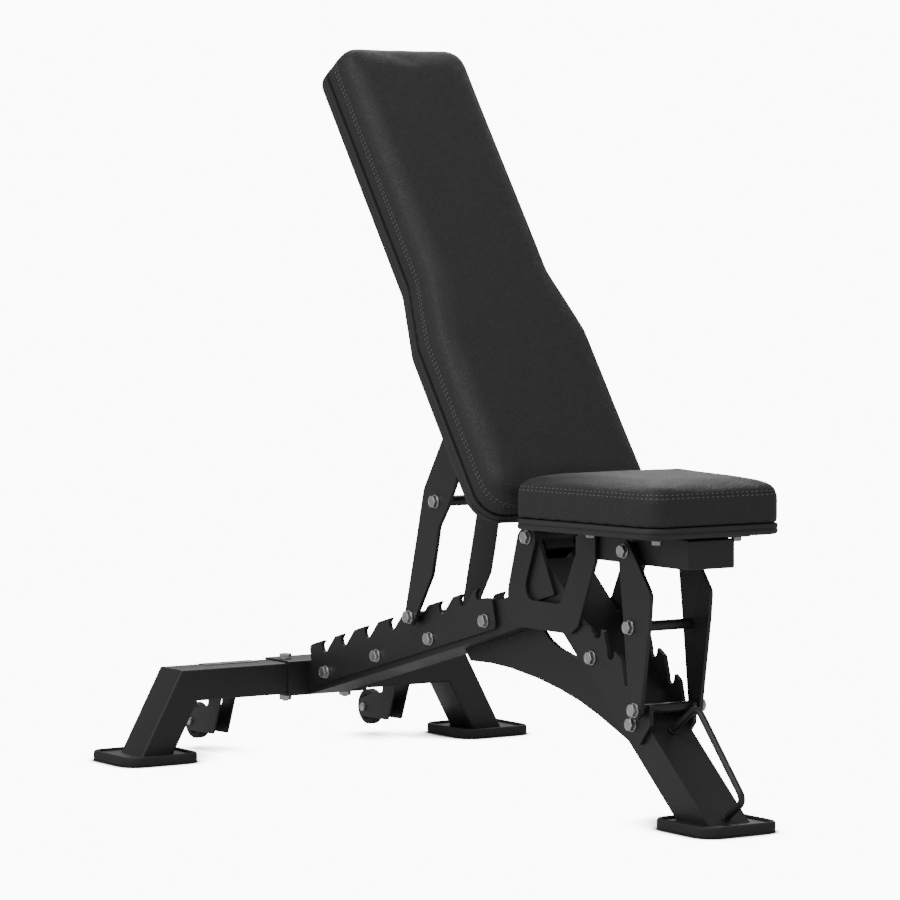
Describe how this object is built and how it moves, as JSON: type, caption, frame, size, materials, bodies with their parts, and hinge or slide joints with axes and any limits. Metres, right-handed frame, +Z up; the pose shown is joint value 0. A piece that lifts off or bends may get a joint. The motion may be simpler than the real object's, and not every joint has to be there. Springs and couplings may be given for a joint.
{
  "type": "adjustable weight bench",
  "caption": "Adjustable weight bench: padded backrest and seat tilt on a steel frame, each held by a strut with a rod that drops into notched ladder plates.",
  "frame": {"origin": "middle of the footprint on the floor", "axes": "+X from the backrest end towards the seat end, +Y to the left of someone sitting on the bench facing the seat end, +Z up"},
  "size_m": [1.254, 0.7588, 1.1125],
  "materials": {
    "frame_coat": "satin powder coat, slightly textured",
    "zinc": "bright zinc plate",
    "strut_rod": "black oxide, satin",
    "rubber": "matt",
    "vinyl": "grained, low sheen",
    "board": "matt black shell",
    "cap": "satin moulded"
  },
  "bodies": {
    "frame": {"crossbar": "frame_coat", "rear_leg_right": "frame_coat", "rear_leg_left": "frame_coat", "rear_foot_right": "rubber", "rear_foot_left": "rubber", "saddle": "frame_coat", "saddle_bolt_right": "zinc", "saddle_bolt_left": "zinc", "wheel_bracket_right": "frame_coat", "wheel_bracket_left": "frame_coat", "wheel_axle_right": "zinc", "wheel_axle_left": "zinc", "spine": "frame_coat", "rear_ladder_right": "frame_coat", "rear_ladder_left": "frame_coat", "rear_ladder_bolt_1": "zinc", "rear_ladder_bolt_2": "zinc", "rear_ladder_bolt_3": "zinc", "rear_ladder_bolt_4": "zinc", "front_leg": "frame_coat", "front_foot": "rubber", "front_ladder_right": "frame_coat", "front_ladder_left": "frame_coat", "front_ladder_bolt_1": "zinc", "front_ladder_bolt_2": "zinc", "upright_right": "frame_coat", "upright_left": "frame_coat", "hinge_gusset_right": "frame_coat", "hinge_gusset_left": "frame_coat", "arch_brace": "frame_coat", "carry_handle": "frame_coat", "hinge_bolt": "zinc", "seat_pivot_pin": "strut_rod"},
    "backrest": {"backrest_tube": "frame_coat", "backrest_strip_1": "frame_coat", "backrest_strip_2": "frame_coat", "backrest_board": "board", "backrest_pad": "vinyl"},
    "back_strut": {"back_strut_plate_right": "frame_coat", "back_strut_plate_left": "frame_coat", "back_strut_rod": "strut_rod", "back_strut_spacer": "strut_rod", "back_strut_rod_bolt": "zinc", "back_strut_spacer_bolt": "zinc", "back_strut_pivot_bolt": "zinc"},
    "seat": {"seat_tube": "frame_coat", "seat_tube_cap": "cap", "seat_strip_1": "frame_coat", "seat_strip_2": "frame_coat", "seat_board": "board", "seat_pad": "vinyl"},
    "seat_strut": {"seat_strut_plate_right": "frame_coat", "seat_strut_plate_left": "frame_coat", "seat_strut_rod": "strut_rod", "seat_strut_spacer": "strut_rod", "seat_strut_rod_bolt": "zinc", "seat_strut_spacer_bolt": "zinc", "seat_strut_pivot_bolt": "zinc"},
    "wheel_left": {"wheel_left": "rubber"},
    "wheel_right": {"wheel_right": "rubber"}
  },
  "joints": [
    {"name": "backrest_tilt", "type": "hinge", "parent": "frame", "child": "backrest", "pos_m": [0.16398, 0, 0.385], "axis": [0, 1, 0], "range_deg": [0, 30]},
    {"name": "back_strut_swing", "type": "hinge", "parent": "backrest", "child": "back_strut", "pos_m": [0.01004, 0, 0.57856], "axis": [0, -1, 0], "range_deg": [0, 23.5]},
    {"name": "seat_tilt", "type": "hinge", "parent": "frame", "child": "seat", "pos_m": [0.30999, 0, 0.398], "axis": [0, -1, 0], "range_deg": [0, 24]},
    {"name": "seat_strut_swing", "type": "hinge", "parent": "seat", "child": "seat_strut", "pos_m": [0.41698, 0, 0.383], "axis": [0, 1, 0], "range_deg": [0, 24.1]},
    {"name": "wheel_spin_right", "type": "hinge", "parent": "frame", "child": "wheel_right", "pos_m": [-0.59801, -0.1645, 0.045], "axis": [0, 1, 0], "continuous": true},
    {"name": "wheel_spin_left", "type": "hinge", "parent": "frame", "child": "wheel_left", "pos_m": [-0.59801, 0.1645, 0.045], "axis": [0, 1, 0], "continuous": true}
  ],
  "couplings": [
    {"joint": "back_strut_swing", "follows": "backrest_tilt", "ratio": 0.78},
    {"joint": "seat_strut_swing", "follows": "seat_tilt", "ratio": 1}
  ]
}
